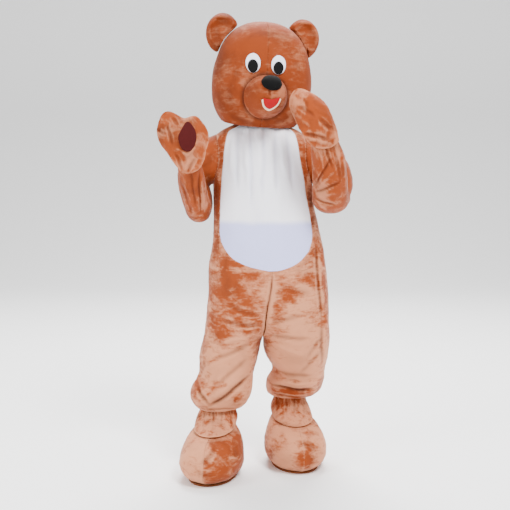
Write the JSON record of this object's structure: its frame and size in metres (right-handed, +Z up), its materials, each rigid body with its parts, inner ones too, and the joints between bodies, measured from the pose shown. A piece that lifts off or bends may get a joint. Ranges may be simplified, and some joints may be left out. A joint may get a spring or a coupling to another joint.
{
  "type": "bear mascot costume",
  "caption": "Bear mascot costume held in its worn shape: hollow head with ears and muzzle, plush jumpsuit with a white front, mitts and padded boots.",
  "frame": {"origin": "between the wearer's shoulders, 1.400 m above the flat undersides of the soles, at the middle of the jumpsuit's depth", "axes": "+Z up; -Y the way the costume faces; +X towards the costume's own left"},
  "size_m": [0.7914, 0.5911, 1.8905],
  "materials": {
    "black_felt": "black plush and felt",
    "brown_felt": "dark brown felt",
    "cream_felt": "cream felt",
    "red_felt": "red felt",
    "sole_cloth": "brown non-slip cloth",
    "tan_plush": "brushed short-pile plush",
    "white_felt": "white felt",
    "white_plush": "white brushed plush",
    "zip_tape": "brown zip tape"
  },
  "bodies": {
    "root": {"back_left": "tan_plush", "back_right": "tan_plush", "back_zip": "zip_tape", "belly": "white_plush", "boot_inner_left": "tan_plush", "boot_inner_right": "tan_plush", "boot_outer_left": "tan_plush", "boot_outer_right": "tan_plush", "ear_back_left": "tan_plush", "ear_back_right": "tan_plush", "ear_front_left": "tan_plush", "ear_front_right": "tan_plush", "eye_white_left": "white_felt", "eye_white_right": "white_felt", "front_left": "tan_plush", "front_right": "tan_plush", "head_back_left": "tan_plush", "head_back_right": "tan_plush", "head_face_left": "tan_plush", "head_face_right": "tan_plush", "lip_trim": "cream_felt", "mitt_back_left": "tan_plush", "mitt_back_right": "tan_plush", "mitt_palm_left": "tan_plush", "mitt_palm_right": "tan_plush", "mouth_lining": "red_felt", "muzzle_left": "tan_plush", "muzzle_right": "tan_plush", "nose": "black_felt", "paw_pad_left": "brown_felt", "paw_pad_right": "brown_felt", "pupil_left": "black_felt", "pupil_right": "black_felt", "sleeve_back_left": "tan_plush", "sleeve_back_right": "tan_plush", "sleeve_front_left": "tan_plush", "sleeve_front_right": "tan_plush", "sole_left": "sole_cloth", "sole_right": "sole_cloth", "spat_left": "tan_plush", "spat_right": "tan_plush"}
  },
  "joints": []
}
